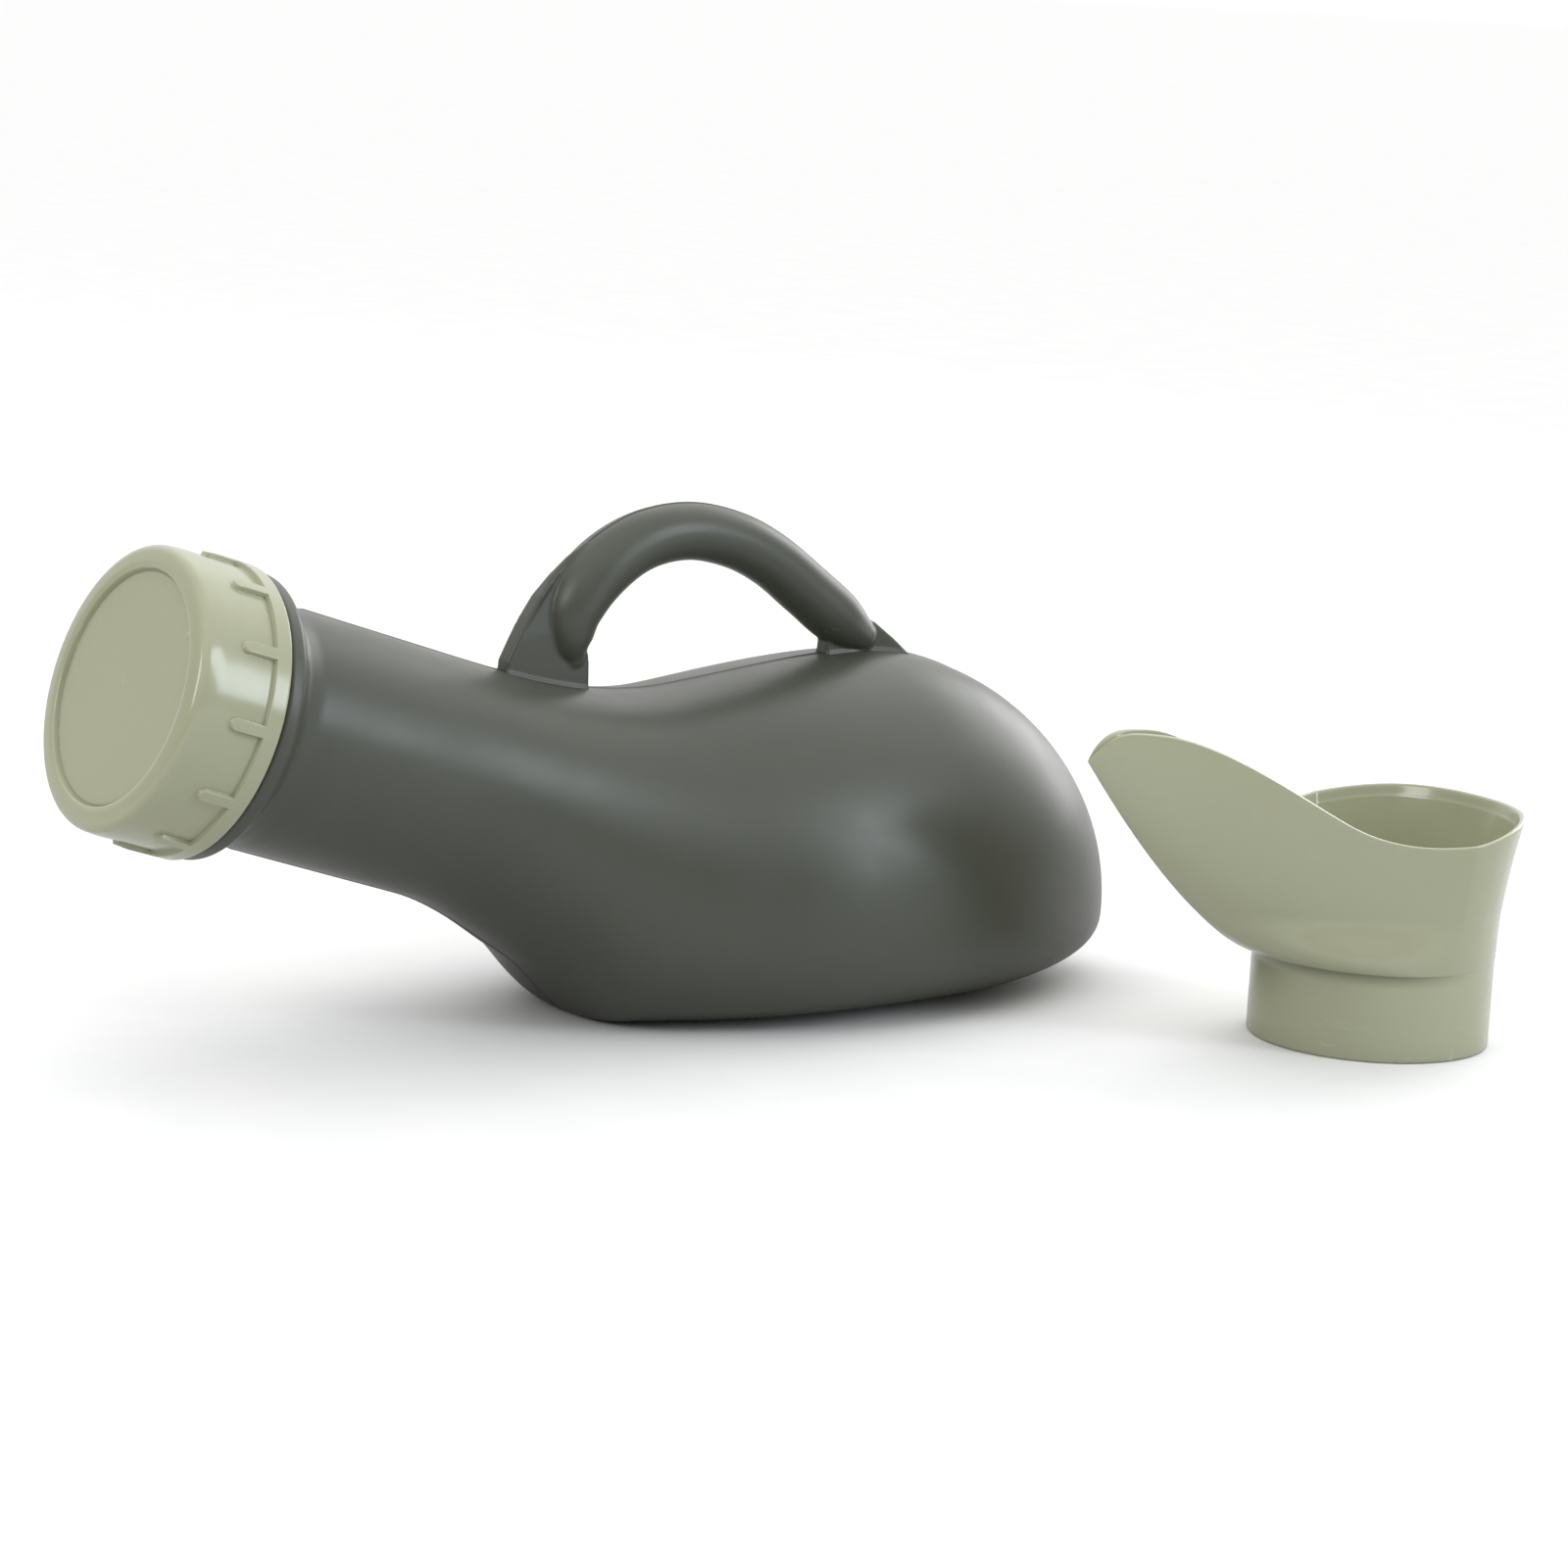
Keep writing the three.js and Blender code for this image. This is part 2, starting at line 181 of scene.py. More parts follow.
# %% [markdown]
# ## The bottle's sections
#
# Cut the belly across anywhere and the cut is a squashed circle: wide and nearly flat at the
# bottom, rounder at the top. Four curves along the bottle say how high, how low and how wide each
# cut is, and one more says how square its lower corners are. Blow moulding stretches a soft tube
# against the mould, so all of these change smoothly and there is no corner anywhere but at the foot.

# %% Section curves
WALL = 2.0
NECK_END_X, REAR_X, REAR_Z = -96.0, 121.0, 17.3
SADDLE, HUMP, THROAT = (-19.0, 82.7, 0.11), (42.5, 88.8, 0.0), (-63.3, 16.2, -0.64)
BASE_FRONT_X, BASE_REAR_X, BASE_DROP = -41.0, 44.0, 1.0
BELLY_X, BELLY_HALF_W, BELLY_Z = 14.0, 55.4, 26.8
PAST_MOUTH_X, NECK_TO_BELLY = -210.0, 94.0
SLOPE = math.tan(NECK_TILT)


def hermite(x, nodes):
    """Smooth curve through (x, value, slope) nodes, flat outside their range."""
    x = np.asarray(x, float)
    out = np.full_like(x, nodes[-1][1])
    for (x0, v0, m0), (x1, v1, m1) in reversed(list(zip(nodes, nodes[1:]))):
        h = x1 - x0
        t = np.clip((x - x0) / h, 0, 1)
        value = ((2 * t**3 - 3 * t**2 + 1) * v0 + (3 * t**2 - 2 * t**3) * v1
                 + ((t**3 - 2 * t**2 + t) * m0 + (t**3 - t**2) * m1) * h)
        out = np.where(x <= x1, value, out)
    return out


def neck_axis_z(x):
    return NECK_FOOT[2] - (x - NECK_FOOT[0]) * SLOPE


def section(x, inset):
    rear = REAR_X - inset
    tall = (NECK_R - inset) / math.cos(NECK_TILT)
    neck_top = [(x, neck_axis_z(x) + tall, -SLOPE) for x in (PAST_MOUTH_X, NECK_END_X)]
    neck_low = [(x, neck_axis_z(x) - tall, -SLOPE) for x in (PAST_MOUTH_X, NECK_END_X)]
    neck_half = [(x, NECK_R - inset, 0) for x in (PAST_MOUTH_X, NECK_END_X)]
    top = hermite(x, [*neck_top, (SADDLE[0], SADDLE[1] - inset, SADDLE[2]), (HUMP[0], HUMP[1] - inset, 0)])
    low = hermite(x, [*neck_low, (THROAT[0], THROAT[1] + inset, THROAT[2]),
                      (BASE_FRONT_X, inset - BASE_DROP, 0)])
    half = hermite(x, [*neck_half, (BELLY_X, BELLY_HALF_W - inset, 0)])
    s = np.clip((x - HUMP[0]) / (rear - HUMP[0]), 0, 1)
    top = np.where(x > HUMP[0], REAR_Z + (HUMP[1] - inset - REAR_Z) * (1 - s**1.91) ** (1 / 1.88), top)
    s = np.clip((x - BASE_REAR_X) / (rear - BASE_REAR_X), 0, 1)
    rise = REAR_Z - inset + BASE_DROP
    low = np.where(x > BASE_REAR_X, inset - BASE_DROP + rise * (1 - (1 - s**2.22) ** (1 / 2.22)), low)
    s = np.clip((x - BELLY_X) / (rear - BELLY_X), 0, 1)
    half = np.where(x > BELLY_X, (BELLY_HALF_W - inset) * np.sqrt(1 - s**2.12), half)
    blend = smoothstep((x - NECK_END_X) / NECK_TO_BELLY)
    wide = neck_axis_z(x) * (1 - blend) + BELLY_Z * blend
    wide = wide + (REAR_Z - wide) * s**3
    wide = np.clip(wide, low, np.maximum(top, low))
    return half, top, low, wide, 2 + 0.07 * blend, 2 + 0.85 * blend


def belly_rings(x, inset, turns):
    """Upright cuts at each x; turn is measured from the top."""
    x = np.asarray(x, float)[:, None]
    half, top, low, wide, upper, lower = section(x, inset)
    c, s = np.cos(turns)[None, :], np.sin(turns)[None, :]
    power = np.where(c >= 0, 2 / upper, 2 / lower)
    z = wide + np.where(c >= 0, top - wide, wide - low) * signed_power(c, power)
    return np.stack(np.broadcast_arrays(x, half * signed_power(s, power), z), -1)


def belly_top_z(x, y):
    """Height of the outer skin above a point, for whatever has to meet it."""
    half, top, low, wide, upper, lower = section(np.asarray(x, float), 0.0)
    return wide + (top - wide) * np.clip(1 - np.abs(y / half) ** upper, 0, 1) ** (1 / upper)


print("hump at", HUMP[1], "mm; belly", 2 * BELLY_HALF_W, "mm wide")

# %% [markdown]
# ## The bottle shell
#
# A blow mould closes on the soft tube from both sides, and where the halves meet the plastic keeps
# a fine raised line. It runs along the top and under the base, where the
# tube was pinched shut. Columns of the grid crowd together at the top and bottom centre so that
# this line is real geometry, a third of a millimetre high, and catches the light like the real one.
# A bump texture could fake it, but a bump fades at the outline, just where the line shows best.

# %% Columns that crowd at the mould line
def mould_columns(plain, tight=(0.0, 0.16, 0.34, 0.55, 0.85, 1.3, 2.0)):
    near = np.radians([*(-v for v in reversed(tight[1:])), *tight])
    reach = math.radians(tight[-1])
    side = np.linspace(reach, math.pi - reach, plain)[1:-1]
    return np.concatenate([near, side, math.pi + near, math.pi + side])


def mould_line(points, height, width):
    """Lift points near the middle plane by a narrow smooth ridge; returns the lift for each point."""
    return height * np.exp(-((points[..., 1] / width) ** 2))


shell_turns = mould_columns(112)
print(len(shell_turns), "columns round the bottle")

# %% Outer and inner skins of the shell
LIP_L = 17.7
MOULD_LINE_H, MOULD_LINE_W = 0.32, 0.45
LIP_AND_BEAD = rounded_path(
    [(28.0, -0.9), (35.3, -0.9), (35.3, -4.4), (33.9, -5.7), (30.4, -8.6), (29.7, -13.5), (29.7, -16.0)],
    [0.9, 0.8, 0.9, 1.6, 3.0], steps=7)
LIP = rounded_path(
    [(27.0, LIP_L), (28.0, LIP_L), (28.0, 15.0), (28.0, 0.4), (28.0, -0.9)], [0.7, 0.2, 0.2], steps=5)
lip_rings = on_neck(LIP[:, :1], LIP[:, 1:], shell_turns[None, :])
bead_rings = on_neck(LIP_AND_BEAD[:, :1], LIP_AND_BEAD[:, 1:], shell_turns[None, :])

NECK_LONG = (NECK_FOOT[0] - NECK_END_X) / math.cos(NECK_TILT)
slant = smoothstep(np.linspace(0, 1, 26))[:, None]
reach_l = np.linspace(-17.5, NECK_LONG, 26)[:, None]
leaning = reach_l + slant * NECK_R * math.tan(NECK_TILT) * np.cos(shell_turns)[None, :]
neck_rings = on_neck(np.full_like(leaning, NECK_R), leaning, shell_turns[None, :])

stations = NECK_END_X + (REAR_X - NECK_END_X) * np.sin(np.linspace(0, 1, 170)[1:] * math.pi / 2)
outer_rings = belly_rings(stations, 0.0, shell_turns)
outer = np.concatenate([neck_rings, outer_rings])
lift = mould_line(outer, MOULD_LINE_H, MOULD_LINE_W)
middle = outer.mean(axis=1, keepdims=True)
away = outer - middle
away /= np.maximum(np.linalg.norm(away, axis=-1, keepdims=True), 1e-6)
fade = np.ones(len(outer))
fade[-12:] = np.linspace(1, 0, 12)
outer = outer + away * (lift * fade[:, None])[..., None]
foot = 0.5 * (outer[..., 2] + np.sqrt(outer[..., 2] ** 2 + 0.35))
outer[..., 2] = np.where(outer[..., 2] < 6, foot, outer[..., 2])

BORE_R = 26.0
INNER_NECK_R = NECK_R - WALL
BORE = rounded_path(
    [(27.0, LIP_L), (BORE_R, LIP_L), (BORE_R, -8.0), (INNER_NECK_R, -13.0), (INNER_NECK_R, -17.0)],
    [0.7, 1.5, 2.0], steps=5)
bore_rings = on_neck(BORE[:, :1], BORE[:, 1:], shell_turns[None, :])
deep = np.linspace(-19, NECK_LONG, 10)[:, None]
slant = smoothstep(np.linspace(0, 1, 10))[:, None]
leaning = deep + slant * INNER_NECK_R * SLOPE * np.cos(shell_turns)[None, :]
inner_neck = on_neck(np.full_like(leaning, INNER_NECK_R), leaning, shell_turns[None, :])
inner_x = NECK_END_X + (REAR_X - WALL - NECK_END_X) * np.sin(np.linspace(0, 1, 60)[1:] * math.pi / 2)
inner_rings = belly_rings(inner_x, WALL, shell_turns)
inner_rings[..., 2] = np.maximum(inner_rings[..., 2], WALL)

shell_skin = np.concatenate([inner_rings[::-1], inner_neck[::-1], bore_rings[::-1], lip_rings[1:],
                             bead_rings[1:], outer])
shell = skin_from_rings("blown_shell", shell_skin, cap_start=True, cap_end=True)
outward(shell)
print("shell skin:", len(shell.data.polygons), "faces")

# %% [markdown]
# ## The screw thread
#
# A bottle thread is a rounded ridge that climbs one pitch per turn and fades out at both ends. It
# is swept as its own small skin, sunk a little into the wall, because cutting it into the lathe
# would twist every ring of the neck.

# %% Thread ridge
PITCH = 6.0
THREAD_TURNS = 1.5
RIDGE_HALF = [(0, -1.5), (0.35, -1.25), (0.8, -0.95), (1, -0.6)]


def thread_ridge(name, root_r, crest_r, start_l, turn_count, columns=220):
    v = np.linspace(0, 1, columns)
    size = smoothstep(np.minimum(v, 1 - v) / 0.12)
    shape = RIDGE_HALF + [(out, -side) for out, side in reversed(RIDGE_HALF)]
    rings = []
    for out, side in shape:
        r = root_r + out * (crest_r - root_r) * size
        along = start_l + v * turn_count * PITCH + side * (0.15 + 0.85 * size)
        rings.append(on_neck(r, along, v * turn_count * 2 * math.pi))
    rings = np.array(rings).transpose(1, 0, 2)
    return outward(skin_from_rings(name, rings, cap_start=True, cap_end=True))


neck_thread = thread_ridge("neck_thread", 27.7, 29.4, 4.0, THREAD_TURNS)
shell = join(shell, neck_thread)
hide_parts("bottle_shell")
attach(shell, "bottle")
print("shell with thread:", len(shell.data.polygons), "faces")

# %% [markdown]
# ## The carry handle
#
# The handle is blown together with the bottle: a fat round grip that ends in two tongues, and flat
# webs left by the closed mould that tie the tongues to the belly. Each shape is easy alone; the
# real one has small soft corners where they meet. A voxel remesh fuses the grip and the webs into
# one skin, and a few smoothing passes round the joints the way the mould's cutter did.

# %% Grip tube
GRIP = np.array([
    (-47.2, 90.5, 3.4), (-48.3, 95.5, 6.0), (-47.6, 103, 7.6), (-41.2, 111.6, 8.0), (-29, 119.2, 7.6),
    (-14, 121.6, 7.3), (1, 118.7, 7.2), (12.5, 113.4, 7.2), (24.5, 105, 7.3), (35.5, 97.0, 7.0),
    (43.0, 92.2, 4.4),
])


def grip_curve(points, samples):
    """Smooth curve through (x, z, radius) points: Catmull-Rom slopes, spaced by root of distance."""
    pts = np.vstack([2 * points[0] - points[1], points, 2 * points[-1] - points[-2]])
    out = []
    for t in np.linspace(0, len(points) - 1, samples):
        k = min(int(t), len(points) - 2)
        p0, p1, p2, p3 = pts[k:k + 4]
        a, b, c = (np.linalg.norm((q - p)[:2]) ** 0.5 for p, q in ((p0, p1), (p1, p2), (p2, p3)))
        m1 = ((p1 - p0) / a - (p2 - p0) / (a + b) + (p2 - p1) / b) * b
        m2 = ((p2 - p1) / b - (p3 - p1) / (b + c) + (p3 - p2) / c) * b
        u = t - k
        out.append((2 * u**3 - 3 * u**2 + 1) * p1 + (3 * u**2 - 2 * u**3) * p2
                   + (u**3 - 2 * u**2 + u) * m1 + (u**3 - u**2) * m2)
    return np.array(out)


def tube(name, line, widen, columns=48):
    """Round tube along (x, z, radius) in the middle plane, with domed ends."""
    centre = line[:, :2]
    along = np.gradient(centre, axis=0)
    along /= np.linalg.norm(along, axis=1, keepdims=True)
    dome = np.sin(np.linspace(0, 1, 8) * math.pi / 2)
    first, last = line[0], line[-1]
    spots, radii, ways = [], [], []
    for d in dome[::-1]:
        spots.append(first[:2] - along[0] * first[2] * 0.8 * d)
        radii.append(first[2] * math.sqrt(max(1 - d * d, 0.002)))
        ways.append(along[0])
    spots.extend(centre[1:-1])
    radii.extend(line[1:-1, 2])
    ways.extend(along[1:-1])
    for d in dome:
        spots.append(last[:2] + along[-1] * last[2] * 0.8 * d)
        radii.append(last[2] * math.sqrt(max(1 - d * d, 0.002)))
        ways.append(along[-1])
    turn = np.linspace(0, 2 * math.pi, columns, endpoint=False)
    rings = []
    for (x, z), r, (tx, tz) in zip(spots, radii, ways):
        out = r * np.cos(turn)
        rings.append(np.stack([x - tz * out, r * widen * np.sin(turn), z + tx * out], -1))
    return outward(skin_from_rings(name, rings, cap_start=True, cap_end=True))


grip_line = grip_curve(GRIP, 150)
grip = tube("carry_grip", grip_line, 1.04)
grip_top = float((grip_line[:, 1] + grip_line[:, 2]).max())
print("grip tube:", len(grip.data.polygons), "faces, top at", round(grip_top, 1), "mm")

# %% Webs that tie the tongues to the belly
WEB_T, WEB_BEVEL = 5.0, 0.4
FRONT_WEB_THINS = (104.0, 117.0)
FRONT_WEB = [(-68.4, 78), (-67.4, 91), (-64.8, 96.3), (-62.0, 101.4), (-58.4, 107.0), (-54.4, 112.0),
             (-49.6, 116.5), (-44.5, 119.8), (-39, 121.5), (-42, 112), (-46, 100), (-43.3, 91), (-42.6, 76)]
REAR_WEB = [(29.5, 80), (30.5, 91.5), (36, 97.0), (40, 98.2), (45.5, 96.4), (52, 91.8), (60.2, 85.2),
            (63, 76)]


def web_plate(name, outline, thinning=None):
    """A plate in the middle plane, WEB_T thick; between two heights it can thin to a quarter of that."""
    work = bmesh.new()
    ring = [work.verts.new((x * MM, -WEB_T / 2 * MM, z * MM)) for x, z in outline]
    face = work.faces.new(ring)
    grown = bmesh.ops.extrude_face_region(work, geom=[face])
    moved = [g for g in grown["geom"] if isinstance(g, bmesh.types.BMVert)]
    bmesh.ops.translate(work, verts=moved, vec=(0, WEB_T * MM, 0))
    bmesh.ops.recalc_face_normals(work, faces=work.faces)
    if thinning:
        start, end = thinning
        for vert in work.verts:
            vert.co.y *= 1 - 0.75 * smoothstep((vert.co.z / MM - start) / (end - start))
    bmesh.ops.bevel(work, geom=list(work.edges), offset=WEB_BEVEL * MM, segments=2, profile=0.5,
                    affect="EDGES")
    mesh = bpy.data.meshes.new(name)
    work.to_mesh(mesh)
    work.free()
    piece = bpy.data.objects.new(name, mesh)
    bpy.context.scene.collection.objects.link(piece)
    return piece


webs = [web_plate("front_web", FRONT_WEB, FRONT_WEB_THINS), web_plate("rear_web", REAR_WEB)]
handle = join(grip, *webs)
handle.name = "carry_grip_and_webs"
print("handle parts joined:", len(handle.data.polygons), "faces")

# %% Fuse and soften the handle
VOXEL = 0.42
FLARE, FLARE_H, SUNK = 0.5, 1.3, 1.5


def applied(piece, kind, **settings):
    modifier = piece.modifiers.new(kind.lower(), kind)
    for key, value in settings.items():
        setattr(modifier, key, value)
    depsgraph = bpy.context.evaluated_depsgraph_get()
    fresh = bpy.data.meshes.new_from_object(piece.evaluated_get(depsgraph))
    old = piece.data
    piece.modifiers.clear()
    piece.data = fresh
    bpy.data.meshes.remove(old)
    return piece


applied(handle, "REMESH", mode="VOXEL", voxel_size=VOXEL * MM, use_smooth_shade=True)
applied(handle, "SMOOTH", factor=0.5, iterations=3)

co = np.empty(len(handle.data.vertices) * 3)
handle.data.vertices.foreach_get("co", co)
co = co.reshape(-1, 3) / MM
height = co[:, 2] - belly_top_z(co[:, 0], co[:, 1])
flare = FLARE * (1 - smoothstep(height / FLARE_H)) ** 2
co[:, 1] += np.sign(co[:, 1]) * flare * smoothstep(np.abs(co[:, 1]) / 2.0)
co[:, 2] = np.maximum(co[:, 2], belly_top_z(co[:, 0], co[:, 1]) - SUNK)
handle.data.vertices.foreach_set("co", (co * MM).ravel())
handle.data.update()
print("fused handle:", len(handle.data.polygons), "faces")

# %% Mould line over the grip
def fin_over(name, line, half_width, height, columns=5):
    """A low rounded fin in the middle plane on the outer side of a line of (x, z, radius)."""
    centre = line[:, :2]
    along = np.gradient(centre, axis=0)
    along /= np.linalg.norm(along, axis=1, keepdims=True)
    across = np.linspace(-1, 1, columns)
    rings = []
    ends = smoothstep(np.minimum(np.arange(len(line)), np.arange(len(line))[::-1]) / 4)
    for (x, z, r), (tx, tz), end in zip(line, along, ends):
        top = r + height * (1 - across**2) * end - 0.05
        under = np.full(columns, r - 0.9)
        out = np.concatenate([top, under])
        y = np.concatenate([across, across[::-1]]) * half_width
        rings.append(np.stack([x - tz * out, y, z + tx * out], -1))
    return outward(skin_from_rings(name, rings, cap_start=True, cap_end=True))


fin = fin_over("grip_fin", grip_line[14:140:2], 0.42, 0.32)
handle = join(handle, fin)
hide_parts("carry_handle")
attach(handle, "bottle")
print("handle done:", len(handle.data.polygons), "faces")

# %% [markdown]
# ## The screw cap
#
# The cap is injection moulded, so its details are crisper than the bottle's: a flat face set just
# inside a fine raised ring, a generous rounded shoulder, and a skirt with twelve short grip ribs that run
# into a band at the open end. The ribs are not separate strips. The skirt's radius is one height
# field, and each rib is a rounded stadium shape added to it, which gives the soft root and the
# round nose of a milled mould for free.

# %% Cap profile and ribs
CAP_SKIRT_R, CAP_BAND_R, CAP_BAND_L = 35.0, 36.3, 4.2
RIB_SOFT, RIB_ROOT = 0.13, 0.5
RIB_HALF, RIB_NOSE_L, RIB_COUNT = 1.5, 11.6, 12
CAP_FACE = rounded_path(
    [(0.05, 22.6), (28.05, 22.6), (28.5, 22.15), (28.85, 23.7), (30.2, 23.95), (34.6, 23.5),
     (35.05, 19.0), (35.0, 15.0)],
    [0.6, 0.3, 0.45, 0.7, 4.1, 2.0], steps=8)
CAP_FACE[0, 0] = 0.4
flat_rows = np.column_stack([np.linspace(0.4, 27.0, 12), np.full(12, 22.6)])
CAP_FACE = np.vstack([flat_rows, CAP_FACE[1:]])

# Turns crowd where a rib's side drops to the skirt, between about 2 and 3 degrees from its middle.
rib_side = [0, 0.8, 1.5, 1.9, 2.1, 2.2, 2.3, 2.37, 2.45, 2.55, 2.7, 2.95, 3.3, 4, 5.5, 7.5, 10, 12.5]
rib_side = np.radians(rib_side)
rib_sector = np.concatenate([-rib_side[:0:-1], rib_side, [math.radians(15)]])
cap_turns = np.concatenate([k * 2 * math.pi / RIB_COUNT + rib_sector for k in range(RIB_COUNT)])

skirt_l = np.concatenate([np.linspace(15.0, 13.6, 4)[1:], np.linspace(13.5, 9.6, 34),
                          np.linspace(9.2, 4.9, 9),
                          np.linspace(4.75, 3.85, 16), np.linspace(3.6, 0.9, 5), [0.6, 0.35, 0.15, 0.03]])


def step_up(distance, soft):
    """0 outside, 1 inside, rounded over a soft band around distance zero."""
    return smoothstep(0.5 - distance / (2 * soft))


def skirt_radius(along, turn):
    sector = 2 * math.pi / RIB_COUNT
    arc = (np.mod(turn + sector / 2, sector) - sector / 2) * CAP_BAND_R
    beyond = np.maximum(along - RIB_NOSE_L, 0)
    rib = np.sqrt(arc**2 + beyond**2) - RIB_HALF
    band = along - CAP_BAND_L
    root = RIB_ROOT
    inside = np.minimum(rib, band)
    blend = np.clip(0.5 + 0.5 * (band - rib) / root, 0, 1)
    near = np.abs(band) + np.abs(rib) < 3
    inside = np.where(near, band * (1 - blend) + rib * blend - root * blend * (1 - blend) * 0.5, inside)
    edge = 0.3 * (1 - smoothstep((along - 0.0) / 0.35))
    nose_fall = 0.35 * smoothstep((along - 9.0) / 5.0)
    return CAP_SKIRT_R + (CAP_BAND_R - CAP_SKIRT_R - nose_fall) * step_up(inside, RIB_SOFT) - edge


L_grid, T_grid = np.meshgrid(skirt_l, cap_turns, indexing="ij")
skirt_rings = on_neck(skirt_radius(L_grid, T_grid), L_grid, T_grid)
face_rings = on_neck(CAP_FACE[:, :1], CAP_FACE[:, 1:], cap_turns[None, :])
CAP_INSIDE = rounded_path([(36.0, 0.0), (31.5, 0.0), (31.0, 0.5), (31.0, 19.5), (20.0, 19.5), (0.4, 19.5)],
                          [0.3, 0.3, 0.8, 0.2], steps=4)
inside_rings = on_neck(CAP_INSIDE[:, :1], CAP_INSIDE[:, 1:], cap_turns[None, :])
cap_rings = np.concatenate([face_rings, skirt_rings, inside_rings])
cap = skin_from_rings("ribbed_cap", cap_rings, cap_start=True, cap_end=True)
outward(cap)
cap = join(cap, thread_ridge("cap_thread", 31.3, 28.6, 7.0, THREAD_TURNS))
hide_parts("screw_cap")
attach(cap, "cap")
print("cap:", len(cap.data.polygons), "faces,", RIB_COUNT, "ribs")

# %% [markdown]
# ## The cap's liner
#
# A disc of closed-cell foam sits in the cap and is squeezed on the lip. It is punched from sheet,
# so its edge is nearly square, with the corner just crushed round, and the lip leaves a faint ring
# pressed into it. One lathe profile holds all of that.

# %% Liner disc
LINER = rounded_path(
    [(0.3, 19.2), (30.2, 19.2), (30.2, 18.0), (28.6, 18.0), (28.2, 18.18), (26.2, 18.18),
     (25.8, 18.0), (0.3, 18.0)],
    [0.35, 0.35, 0.3, 0.3, 0.3, 0.3], steps=4)
liner_turns = np.linspace(0, 2 * math.pi, 128, endpoint=False)
liner = skin_from_rings("foam_liner", on_neck(LINER[:, :1], LINER[:, 1:], liner_turns[None, :]),
                        cap_start=True, cap_end=True)
outward(liner)
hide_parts("cap_liner")
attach(liner, "seal")
print("liner:", len(liner.data.polygons), "faces")

# %% [markdown]
# ## The funnel adapter
#
# The funnel is a round collar below and a scoop above, drawn out to one side into a rising lip.
# Going up, each level section is longer and wider than the one below, and a curve along the scoop
# says where the rim cuts the wall off. The wall is one thin skin, so the same sections serve for
# the inside, moved in by the wall's thickness, and the rim is the rounded turn between the two. Towards
# the lip the two sides close up on each other, so only a slit is left between them.

# %% Scoop sections
FUNNEL_AT, FUNNEL_TURN = (135.4, -104.0), math.radians(170.9)
COLLAR_R, COLLAR_BORE_R, COLLAR_H = 31.1, 29.7, 22.5
RIM_Z, TIP_Z, TIP_S, FUNNEL_WALL = 60.5, 74.8, 89.5, 1.8
RIM_CURVE = [(-37.5, 60.0, 0.12), (-31.0, 60.4, 0), (27.8, 61.2, 0.576), (73.1, 81.5, 0.06),
             (TIP_S, TIP_Z, -1.52)]
SCOOP_HALF_W, REAR_FLARE, LEDGE, SHIFT = 38.0, 4.95, 0.9, -3
FRONT_BOW, REAR_BOW, NARROWING, SLIT = 1.415, 1.12, 0.8, 0.25


def scoop(turn, z, inset):
    """Point of the scoop's wall at height z; turn 0 looks towards the lip."""
    c, s = np.cos(turn), np.sin(turn)
    climb = np.clip((z - COLLAR_H) / (RIM_Z - COLLAR_H), 0, 1.7)
    reach = np.clip((z - COLLAR_H) / (TIP_Z - COLLAR_H), 0, 1.15)
    grow = smoothstep((z - COLLAR_H) / 14)
    foot = COLLAR_R + LEDGE * smoothstep(0.5 + c)
    centre = SHIFT * grow
    rear = foot + REAR_FLARE * climb**2.3 + centre
    front = foot + (TIP_S - foot) * reach**0.655 - centre
    half = foot + (SCOOP_HALF_W - foot) * climb**0.82
    extent = np.where(c > 0, front - inset * 1.5, rear - inset)
    power = 1 + (np.where(c > 0, FRONT_BOW, REAR_BOW) - 1) * grow
    narrow = 1 - NARROWING * np.maximum(c, 0) ** 1.4 * reach
    sine = signed_power(s, power)
    out = half * narrow * np.abs(sine)
    slit = np.maximum(out - inset, out * (1 - (1 - SLIT) * inset / FUNNEL_WALL))
    across = np.where(c > 0, slit, (half * narrow - inset) * np.abs(sine))
    return centre + extent * signed_power(c, power), np.sign(sine) * across


def rim_height(turn):
    low, high = np.full_like(turn, COLLAR_H), np.full_like(turn, TIP_Z + 12)
    for _ in range(30):
        mid = (low + high) / 2
        under = mid < hermite(scoop(turn, mid, 0.0)[0], RIM_CURVE)
        low, high = np.where(under, mid, low), np.where(under, high, mid)
    return low


def place_funnel(s, t, z):
    c, w = math.cos(FUNNEL_TURN), math.sin(FUNNEL_TURN)
    s, t, z = np.broadcast_arrays(s, t, z)
    return np.stack([FUNNEL_AT[0] + c * s - w * t, FUNNEL_AT[1] + w * s + c * t, z], -1)


tip_crowd = np.linspace(-math.pi, math.pi, 240, endpoint=False)
funnel_turns = tip_crowd - 0.35 * np.sin(tip_crowd)
rim = rim_height(funnel_turns)
print("rim from", round(float(rim.min()), 1), "to", round(float(rim.max()), 1), "mm")

# %% Funnel skin
def scoop_ring(share, inset, drop=0.0, lift=0.0):
    """A ring at a share of each column's height; drop lowers it, lift is the inside step."""
    z = COLLAR_H + (rim - COLLAR_H) * share - drop
    s, t = scoop(funnel_turns, z, inset)
    return place_funnel(s, t, z + lift)


def level_circle(r, z):
    return place_funnel(r * np.cos(funnel_turns), r * np.sin(funnel_turns), np.full_like(funnel_turns, z))


